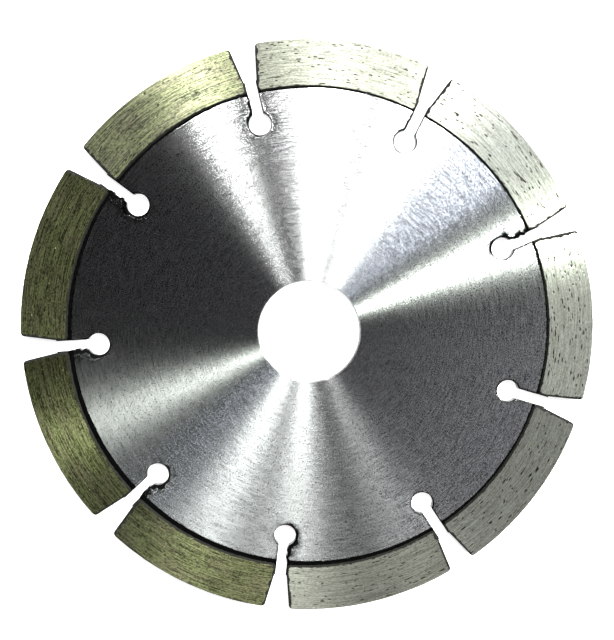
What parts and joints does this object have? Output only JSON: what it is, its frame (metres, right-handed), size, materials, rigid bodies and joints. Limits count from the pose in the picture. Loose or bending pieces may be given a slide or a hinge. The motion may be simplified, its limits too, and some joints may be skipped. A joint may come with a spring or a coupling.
{
  "type": "segmented diamond blade",
  "caption": "Segmented diamond cutting blade for an angle grinder: brushed steel core with keyhole slots and sintered diamond segments.",
  "frame": {"origin": "centre of the bore, halfway through the steel core", "axes": "+Z along the bore axis; one diamond segment is centred on +Y"},
  "size_m": [0.125, 0.1249, 0.0028],
  "materials": {
    "core_steel": "circular brushed steel",
    "diamond_bond": "ground, pitted sintered metal bond with diamond grit"
  },
  "bodies": {
    "root": {"steel_core": "core_steel", "diamond_segment_1": "diamond_bond", "diamond_segment_2": "diamond_bond", "diamond_segment_3": "diamond_bond", "diamond_segment_4": "diamond_bond", "diamond_segment_5": "diamond_bond", "diamond_segment_6": "diamond_bond", "diamond_segment_7": "diamond_bond", "diamond_segment_8": "diamond_bond", "diamond_segment_9": "diamond_bond"}
  },
  "joints": []
}
